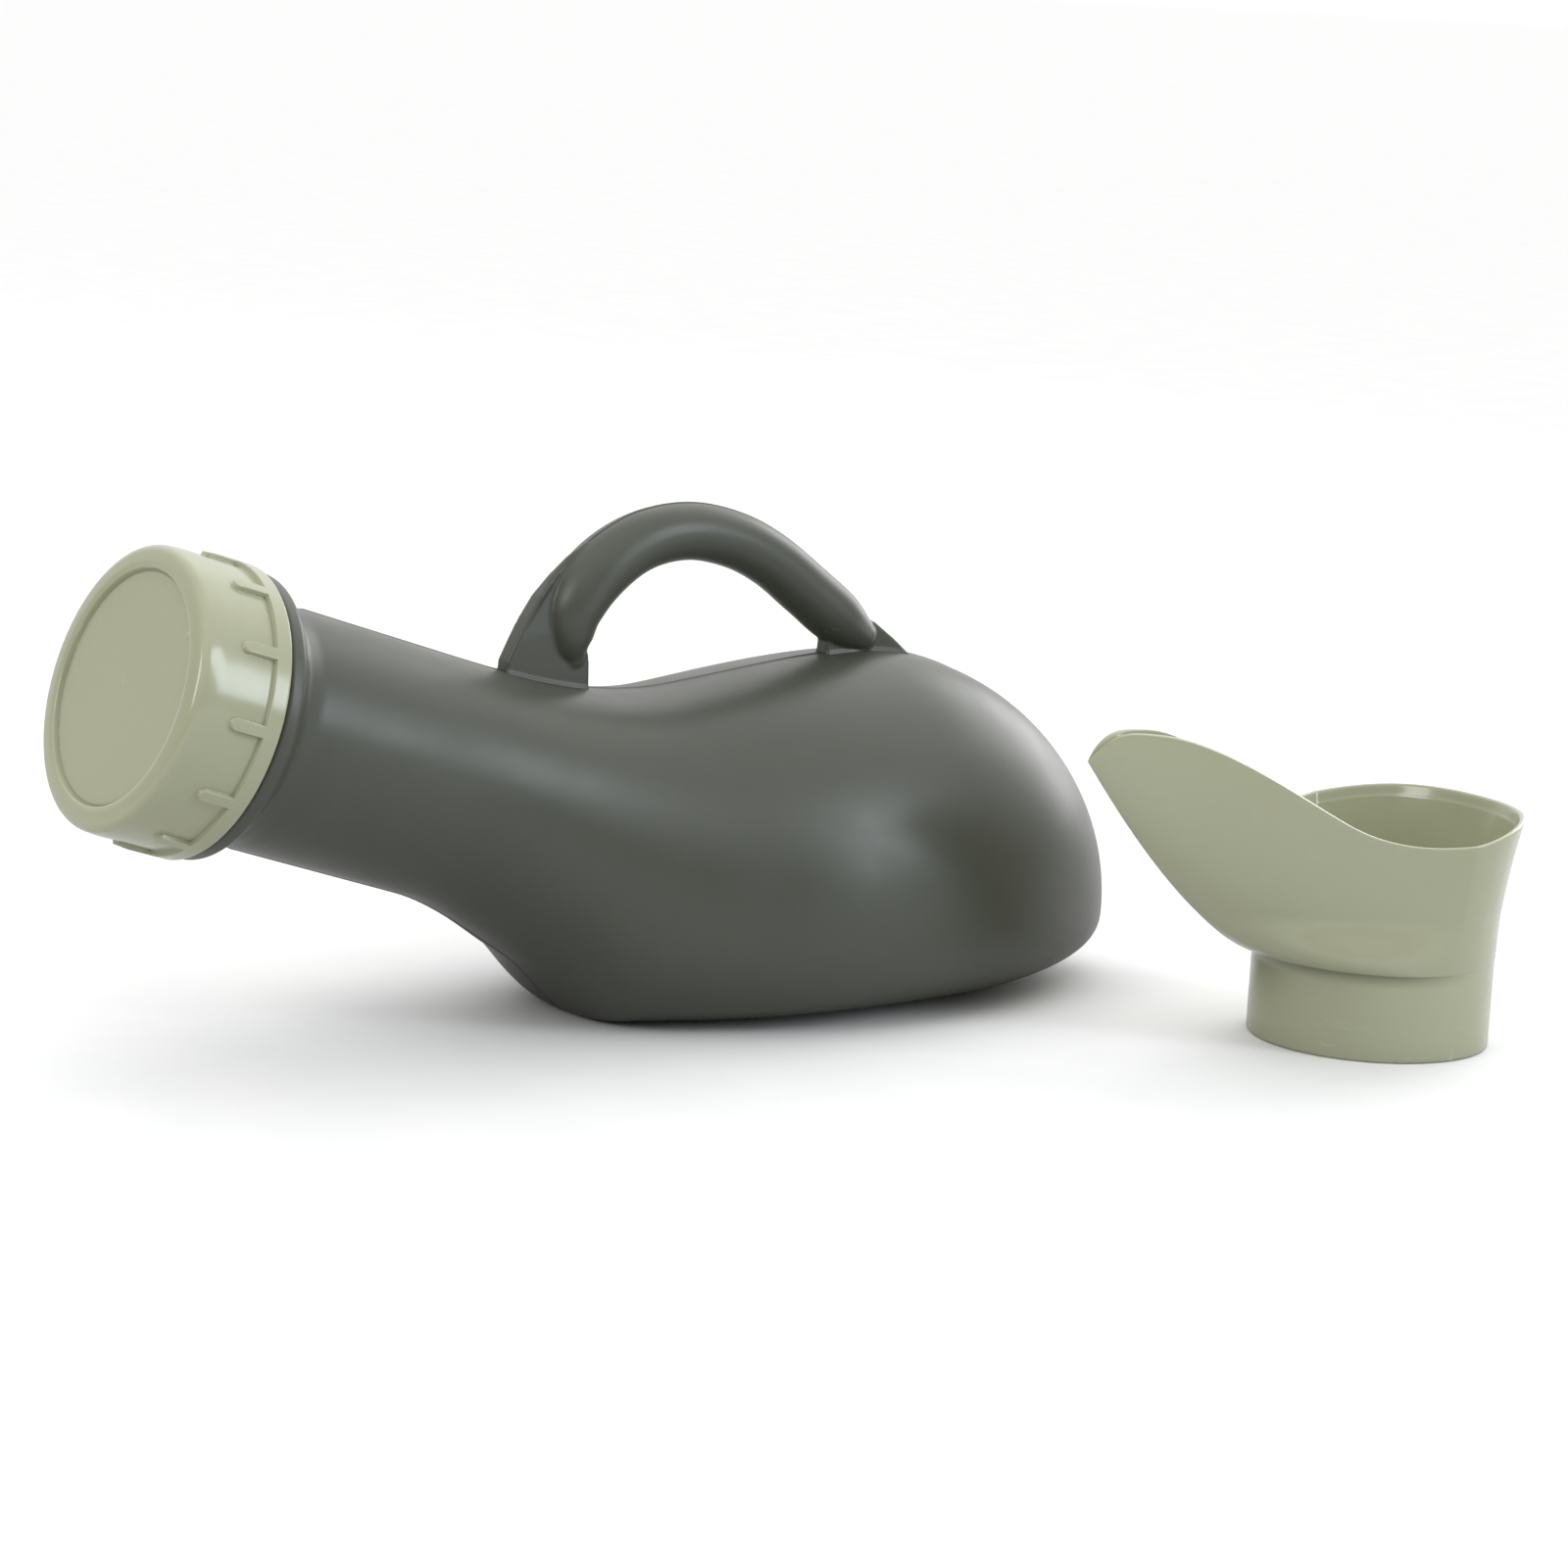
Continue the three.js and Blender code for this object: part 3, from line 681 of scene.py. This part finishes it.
COLLAR_FOOT = (29.95, 0.02)
collar = rounded_path(
    [COLLAR_FOOT, (COLLAR_R, 0.02), (COLLAR_R, 6.0), (COLLAR_R, 18.0), (COLLAR_R, COLLAR_H - 0.3)],
    [0.45, 1, 1], steps=4)
rings = [level_circle(r, z) for r, z in collar]
shares = np.linspace(0, 1, 64) ** 1.5
rings += [scoop_ring(k, 0.0) for k in shares[:-1]]
# (drop, inset) pairs: the rounded rim, then the small step below it on the inside
RIM_TURN = [(0.45, 0.0), (0.22, 0.05), (0.08, 0.2), (0.0, 0.5), (0.0, 0.95), (0.08, 1.25), (0.25, 1.42),
            (0.6, 1.5)]
INSIDE_STEP = [(1.2, 1.55), (2.0, 1.6), (2.4, 1.64), (2.8, 1.7), (3.1, 1.8)]
for drop, inset in RIM_TURN + INSIDE_STEP:
    rings.append(scoop_ring(1.0, inset, drop))
for k in shares[::-1]:
    drop = 3.4 * k
    rings.append(scoop_ring(k, FUNNEL_WALL, drop, lift=FUNNEL_WALL * (1 - k) ** 3))
bore = rounded_path(
    [(COLLAR_BORE_R, COLLAR_H - 0.2), (COLLAR_BORE_R, 10.0), (COLLAR_BORE_R, 0.5), COLLAR_FOOT],
    [1, 0.2], steps=3)
rings += [level_circle(r, z) for r, z in bore[:-1]]
funnel = skin_from_rings("scoop_funnel", np.array(rings), close_rows=True)
outward(funnel)
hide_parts("female_adapter")
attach(funnel, "adapter")
print("funnel:", len(funnel.data.polygons), "faces")

# %% [markdown]
# ## Finishes as shared groups
#
# All the plastic here was moulded, and moulded plastic shows the same three things: a very fine
# uneven surface copied from the mould, colour that drifts slightly where the pigment mixed, and
# edges that rub paler and smoother with handling. Each effect is one node group with its own
# sockets, so every material can place it with its own strength. The wear group also gives a mask
# of painted shade for inner corners. Noise in object space is used for all of them, because it
# needs no unwrapping and has no seams.

# %% Group tools
def new_group(name, inputs, outputs):
    tree = bpy.data.node_groups.new(name, "ShaderNodeTree")
    for title, kind, default in inputs:
        socket = tree.interface.new_socket(title, in_out="INPUT", socket_type=kind)
        if default is not None:
            socket.default_value = default
    for title, kind in outputs:
        tree.interface.new_socket(title, in_out="OUTPUT", socket_type=kind)
    return tree, tree.nodes.new("NodeGroupInput"), tree.nodes.new("NodeGroupOutput")


def math_node(tree, operation, a, b=None, clamp=False):
    node = tree.nodes.new("ShaderNodeMath")
    node.operation = operation
    node.use_clamp = clamp
    for socket, value in zip(node.inputs, (a, b)):
        if value is None:
            continue
        if isinstance(value, (int, float)):
            socket.default_value = value
        else:
            tree.links.new(value, socket)
    return node.outputs[0]


def noise_node(tree, where, scale, detail=2.0, roughness=0.5, stretch=None):
    links = tree.links
    if stretch is not None:
        mapping = tree.nodes.new("ShaderNodeMapping")
        mapping.inputs["Scale"].default_value = stretch
        links.new(where, mapping.inputs["Vector"])
        where = mapping.outputs[0]
    node = tree.nodes.new("ShaderNodeTexNoise")
    node.inputs["Scale"].default_value = scale
    node.inputs["Detail"].default_value = detail
    node.inputs["Roughness"].default_value = roughness
    links.new(where, node.inputs["Vector"])
    return node.outputs[0]


def spread(tree, value, low, high, to_low=0.0, to_high=1.0):
    node = tree.nodes.new("ShaderNodeMapRange")
    node.interpolation_type = "SMOOTHSTEP"
    for title, number in (("From Min", low), ("From Max", high), ("To Min", to_low), ("To Max", to_high)):
        node.inputs[title].default_value = number
    tree.links.new(value, node.inputs["Value"])
    return node.outputs["Result"]


print("group tools ready")

# %% Group: moulded skin
# Height of the fine unevenness, in tenths of a millimetre: a broad ripple, an orange peel and a grain.
moulded_skin, into, out = new_group(
    "moulded_skin",
    [(title, "NodeSocketFloat", 1.0) for title in ("Ripple", "Peel", "Grain")],
    [("Height", "NodeSocketFloat"), ("Gloss Drift", "NodeSocketFloat")])
spot = moulded_skin.nodes.new("ShaderNodeTexCoord").outputs["Object"]
ripple = noise_node(moulded_skin, spot, 38.0, 1.0)
peel = noise_node(moulded_skin, spot, 240.0, 2.0, 0.5)
grain = noise_node(moulded_skin, spot, 700.0, 1.0, 0.5)
height = math_node(moulded_skin, "MULTIPLY", ripple, into.outputs["Ripple"])
for layer, title in ((peel, "Peel"), (grain, "Grain")):
    share = math_node(moulded_skin, "MULTIPLY", layer, into.outputs[title])
    height = math_node(moulded_skin, "ADD", height, share)
moulded_skin.links.new(height, out.inputs["Height"])
gloss = noise_node(moulded_skin, spot, 55.0, 4.0, 0.6)
moulded_skin.links.new(spread(moulded_skin, gloss, 0.3, 0.7), out.inputs["Gloss Drift"])
print("group", moulded_skin.name, "has", len(moulded_skin.nodes), "nodes")

# %% Group: pigment drift
# The base colour, pulled towards a second tint in slow clouds and fine specks.
pigment_drift, into, out = new_group(
    "pigment_drift",
    [("Colour", "NodeSocketColor", (0.5, 0.5, 0.5, 1)),
     ("Second Tint", "NodeSocketColor", (0.5, 0.5, 0.5, 1)),
     ("Amount", "NodeSocketFloat", 0.5)],
    [("Colour", "NodeSocketColor")])
spot = pigment_drift.nodes.new("ShaderNodeTexCoord").outputs["Object"]
clouds = spread(pigment_drift, noise_node(pigment_drift, spot, 16.0, 2.0, 0.5), 0.25, 0.75)
specks = spread(pigment_drift, noise_node(pigment_drift, spot, 320.0, 2.0, 0.5), 0.25, 0.8)
share = math_node(pigment_drift, "ADD", math_node(pigment_drift, "MULTIPLY", clouds, 0.8),
                  math_node(pigment_drift, "MULTIPLY", specks, 0.2))
share = math_node(pigment_drift, "MULTIPLY", share, into.outputs["Amount"], clamp=True)
mix = pigment_drift.nodes.new("ShaderNodeMix")
mix.data_type = "RGBA"
pigment_drift.links.new(share, mix.inputs[0])
pigment_drift.links.new(into.outputs["Colour"], mix.inputs[6])
pigment_drift.links.new(into.outputs["Second Tint"], mix.inputs[7])
pigment_drift.links.new(mix.outputs[2], out.inputs["Colour"])
print("group", pigment_drift.name, "has", len(pigment_drift.nodes), "nodes")

# %% Group: handling wear and painted crevice shade
# Three masks: rubbed outer edges, scuffs low down where the thing is set on tables, and inner corners,
# where a darker tone is painted in as shade.
wear_and_crevice_shade, into, out = new_group(
    "wear_and_crevice_shade",
    [("Edge Start", "NodeSocketFloat", 0.52), ("Edge Full", "NodeSocketFloat", 0.6),
     ("Scuff Height", "NodeSocketFloat", 0.012)],
    [("Edge", "NodeSocketFloat"), ("Scuff", "NodeSocketFloat"), ("Crevice Shade", "NodeSocketFloat")])
where = wear_and_crevice_shade.nodes.new("ShaderNodeNewGeometry")
spot = wear_and_crevice_shade.nodes.new("ShaderNodeTexCoord").outputs["Object"]
edge = wear_and_crevice_shade.nodes.new("ShaderNodeMapRange")
wear_and_crevice_shade.links.new(where.outputs["Pointiness"], edge.inputs["Value"])
wear_and_crevice_shade.links.new(into.outputs["Edge Start"], edge.inputs["From Min"])
wear_and_crevice_shade.links.new(into.outputs["Edge Full"], edge.inputs["From Max"])
broken = spread(wear_and_crevice_shade, noise_node(wear_and_crevice_shade, spot, 160.0, 4.0, 0.65), 0.34, 0.6)
rubbed_edge = math_node(wear_and_crevice_shade, "MULTIPLY", edge.outputs[0], broken, clamp=True)
wear_and_crevice_shade.links.new(rubbed_edge, out.inputs["Edge"])
# Painted shade: where pointiness is low, in inner corners and creases, this mask darkens the colour as if
# shadow fell there.
painted_crevice_shade = spread(wear_and_crevice_shade, where.outputs["Pointiness"], 0.49, 0.40)
wear_and_crevice_shade.links.new(painted_crevice_shade, out.inputs["Crevice Shade"])
split = wear_and_crevice_shade.nodes.new("ShaderNodeSeparateXYZ")
wear_and_crevice_shade.links.new(spot, split.inputs[0])
low = math_node(wear_and_crevice_shade, "DIVIDE", split.outputs["Z"], into.outputs["Scuff Height"])
low = math_node(wear_and_crevice_shade, "SUBTRACT", 1.0, low, clamp=True)
strokes = spread(wear_and_crevice_shade, noise_node(wear_and_crevice_shade, spot, 60.0, 5.0, 0.7, (1.0, 1.0, 9.0)), 0.55, 0.75)
wear_and_crevice_shade.links.new(math_node(wear_and_crevice_shade, "MULTIPLY", low, strokes, clamp=True), out.inputs["Scuff"])
print("group", wear_and_crevice_shade.name, "has", len(wear_and_crevice_shade.nodes), "nodes")

# %% [markdown]
# ## The plastics
#
# Polythene scatters light a little below its surface and has a soft satin gloss, so the shader
# keeps some subsurface light and a middling roughness. The shared groups feed only the colour,
# the roughness and the bump. Everything that is the same all over, such as the refractive index,
# is typed into the shader itself, where it can be read when the model is exported.

# %% Plastic material maker
def tone(hexcode):
    rgb = [int(hexcode[i:i + 2], 16) / 255 for i in (0, 2, 4)]
    return (*[c / 12.92 if c <= 0.04045 else ((c + 0.055) / 1.055) ** 2.4 for c in rgb], 1)


def place(tree, group, **values):
    node = tree.nodes.new("ShaderNodeGroup")
    node.node_tree = group
    for title, value in values.items():
        node.inputs[title.replace("_", " ")].default_value = value
    return node


def blend_colour(tree, share, a, b):
    node = tree.nodes.new("ShaderNodeMix")
    node.data_type = "RGBA"
    tree.links.new(share, node.inputs[0])
    for socket, value in ((node.inputs[6], a), (node.inputs[7], b)):
        if isinstance(value, tuple):
            socket.default_value = value
        else:
            tree.links.new(value, socket)
    return node.outputs[2]


# The last two arguments set the colour and strength of the shade painted into inner corners.
def plastic(name, colour, tint, worn, roughness, drift, bump, ripple, peel, grain,
            amount=0.6, coat=0.0, scatter=0.0, edges=(0.53, 0.62), shade="2E2F28", crevice_shade_strength=0.4):
    material = bpy.data.materials.new(name)
    material.use_nodes = True
    tree = material.node_tree
    shader = tree.nodes["Principled BSDF"]
    pigment = place(tree, pigment_drift, Colour=tone(colour), Second_Tint=tone(tint), Amount=amount)
    wear_and_shade = place(tree, wear_and_crevice_shade, Edge_Start=edges[0], Edge_Full=edges[1])
    skin = place(tree, moulded_skin, Ripple=ripple, Peel=peel, Grain=grain)
    worn_and_shaded = pigment.outputs[0]
    # The crevice mark is painted shade: a dark tone blended into inner corners and creases.
    marks = (("Edge", 0.55, worn), ("Scuff", 0.35, worn), ("Crevice Shade", crevice_shade_strength, shade))
    for mask, strength, colour_there in marks:
        share = math_node(tree, "MULTIPLY", wear_and_shade.outputs[mask], strength)
        worn_and_shaded = blend_colour(tree, share, worn_and_shaded, tone(colour_there))
    tree.links.new(worn_and_shaded, shader.inputs["Base Color"])
    uneven = math_node(tree, "MULTIPLY", skin.outputs["Gloss Drift"], drift)
    rough = math_node(tree, "ADD", uneven, roughness)
    for mask, operation, strength in (("Scuff", "ADD", 0.18), ("Edge", "SUBTRACT", 0.06)):
        share = math_node(tree, "MULTIPLY", wear_and_shade.outputs[mask], strength)
        rough = math_node(tree, operation, rough, share, clamp=True)
    tree.links.new(rough, shader.inputs["Roughness"])
    relief = tree.nodes.new("ShaderNodeBump")
    relief.inputs["Strength"].default_value = bump
    relief.inputs["Distance"].default_value = 0.0001
    tree.links.new(skin.outputs["Height"], relief.inputs["Height"])
    tree.links.new(relief.outputs["Normal"], shader.inputs["Normal"])
    shader.inputs["IOR"].default_value = 1.5
    shader.inputs["Coat Weight"].default_value = coat
    shader.inputs["Coat Roughness"].default_value = 0.12
    shader.inputs["Subsurface Weight"].default_value = scatter
    shader.inputs["Subsurface Radius"].default_value = (1.0, 0.9, 0.6)
    shader.inputs["Subsurface Scale"].default_value = 0.0015
    return material


# The shade colour and its strength in each call are the painted shade for inner corners.
olive_hdpe = plastic("olive_satin_polythene", "464940", "4E5147", "84877C", 0.34, 0.06, 0.5,
                     ripple=1.6, peel=0.25, grain=0.06, edges=(0.56, 0.72))
sage_moulding = plastic("sage_moulded_plastic", "A5A78A", "AEB095", "D2D4C8", 0.17, 0.05, 0.35,
                        ripple=0.7, peel=0.10, grain=0.02, amount=0.4, coat=0.25, scatter=0.08,
                        edges=(0.54, 0.66), shade="4E5038", crevice_shade_strength=0.9)
FINISHES = ((shell, olive_hdpe), (handle, olive_hdpe), (cap, sage_moulding), (funnel, sage_moulding))
for piece, finish in FINISHES:
    piece.data.materials.clear()
    piece.data.materials.append(finish)
print("plastics:", olive_hdpe.name, sage_moulding.name)

# %% [markdown]
# ## The foam liner's finish
#
# Closed-cell foam is matt and shows tiny burst bubbles. A Voronoi pattern is made of cells, and its
# distance value is lowest in the middle of each, so as a height it makes round pits of the right size.

# %% Foam material
CELLS_PER_METRE = 1600.0
foam = bpy.data.materials.new("white_closed_cell_foam")
foam.use_nodes = True
tree = foam.node_tree
shader = tree.nodes["Principled BSDF"]
pigment = place(tree, pigment_drift, Colour=tone("E2DFD2"), Second_Tint=tone("D3CEBC"), Amount=0.7)
tree.links.new(pigment.outputs[0], shader.inputs["Base Color"])
cells = tree.nodes.new("ShaderNodeTexVoronoi")
cells.inputs["Scale"].default_value = CELLS_PER_METRE
tree.links.new(tree.nodes.new("ShaderNodeTexCoord").outputs["Object"], cells.inputs["Vector"])
relief = tree.nodes.new("ShaderNodeBump")
relief.inputs["Strength"].default_value = 0.6
relief.inputs["Distance"].default_value = 0.0002
tree.links.new(cells.outputs["Distance"], relief.inputs["Height"])
tree.links.new(relief.outputs["Normal"], shader.inputs["Normal"])
tree.links.new(spread(tree, cells.outputs["Distance"], 0.0, 0.6, 0.9, 0.78), shader.inputs["Roughness"])
liner.data.materials.clear()
liner.data.materials.append(foam)
print("foam cells about", round(1000 / CELLS_PER_METRE, 2), "mm across")

# %% [markdown]
# ## Floor and light
#
# A catalogue shot of pale and dark plastic wants large soft lights and a bright room, so that the
# highlights are broad bands with soft ends. A tall cool panel at the front right is the key. One at the
# far right lights the bottle's rear and the funnel, and one on the left faces the cap. The floor is a
# broad pale sheet with a faint unevenness. It shows its full paleness to the camera but sends less light
# up, so that the undersides stay dark, as they do when a floor is a small sheet and not a whole room.

# %% Floor
FLOOR_REACH = 40
BOUNCE_TONE = (0.6, 0.6, 0.6, 1)
corners = [(x * FLOOR_REACH, y * FLOOR_REACH, 0) for x, y in ((-1, -1), (1, -1), (1, 1), (-1, 1))]
floor_mesh = bpy.data.meshes.new("studio_floor")
floor_mesh.from_pydata(corners, [], [(0, 1, 2, 3)])
floor = bpy.data.objects.new("studio_floor", floor_mesh)
floor.location.z = -0.0002
bpy.context.scene.collection.objects.link(floor)
paper = bpy.data.materials.new("pale_floor")
paper.use_nodes = True
tree = paper.node_tree
shader = tree.nodes["Principled BSDF"]
fibres = noise_node(tree, tree.nodes.new("ShaderNodeTexCoord").outputs["Object"], 30.0, 3.0)
pale = blend_colour(tree, spread(tree, fibres, 0.3, 0.7), (0.86, 0.86, 0.86, 1), (0.88, 0.88, 0.87, 1))
seen = tree.nodes.new("ShaderNodeLightPath").outputs["Is Camera Ray"]
tree.links.new(blend_colour(tree, seen, BOUNCE_TONE, pale), shader.inputs["Base Color"])
shader.inputs["Roughness"].default_value = 0.7
floor.data.materials.append(paper)
print("floor laid")

# %% Lights
def soft_panel(name, at, aim, size, power, colour=(1, 1, 1)):
    lamp = bpy.data.lights.new(name, "AREA")
    lamp.shape = "RECTANGLE"
    lamp.size, lamp.size_y = size
    lamp.energy = power
    lamp.color = colour
    panel = bpy.data.objects.new(name, lamp)
    panel.location = at
    panel.rotation_euler = (Vector(aim) - Vector(at)).to_track_quat("-Z", "Y").to_euler()
    bpy.context.scene.collection.objects.link(panel)
    return panel


soft_panel("key_panel", (0.75, -1.15, 0.62), (0, 0, 0.04), (0.36, 0.8), 6.5, (0.84, 0.92, 1))
soft_panel("rear_right_panel", (1.35, 0.35, 0.5), (0, 0, 0.05), (0.8, 0.8), 6.0)
soft_panel("cap_panel", (-1.3, -0.3, 0.75), (-0.1, 0, 0.07), (0.5, 0.5), 4.5)
print("three panels, the key", round(math.hypot(0.75, 1.15, 0.62), 2), "m away")

# %% Room
# The room is bright overhead and behind, where the white sweep stands, and dim on the near side, so
# the sides of the bottle keep their modelling.
SWEEP = (0.58, 0.79, 0.0)
EYE_LEVEL, OVERHEAD, SWEEP_GLOW, SEEN = 0.22, 1.2, 0.75, 1.06
room = bpy.data.worlds.new("bright_room")
room.use_nodes = True
tree = room.node_tree
backdrop = tree.nodes["Background"]
split = tree.nodes.new("ShaderNodeSeparateXYZ")
direction = tree.nodes.new("ShaderNodeTexCoord").outputs["Generated"]
tree.links.new(direction, split.inputs[0])
ceiling = spread(tree, split.outputs["Z"], 0.1, 0.9, EYE_LEVEL, OVERHEAD)
facing = tree.nodes.new("ShaderNodeVectorMath")
facing.operation = "DOT_PRODUCT"
facing.inputs[1].default_value = SWEEP
tree.links.new(direction, facing.inputs[0])
glow = spread(tree, facing.outputs["Value"], 0.0, 0.9, 0.0, SWEEP_GLOW)
surroundings = math_node(tree, "ADD", ceiling, glow)
seen = tree.nodes.new("ShaderNodeLightPath").outputs["Is Camera Ray"]
pick = tree.nodes.new("ShaderNodeMix")
tree.links.new(seen, pick.inputs["Factor"])
tree.links.new(surroundings, pick.inputs["A"])
pick.inputs["B"].default_value = SEEN
tree.links.new(pick.outputs["Result"], backdrop.inputs["Strength"])
backdrop.inputs["Color"].default_value = (1, 1, 1, 1)
bpy.context.scene.world = room
bpy.context.scene.view_settings.view_transform = "Standard"
print("room lit from", OVERHEAD, "overhead to", EYE_LEVEL, "at eye level in front")
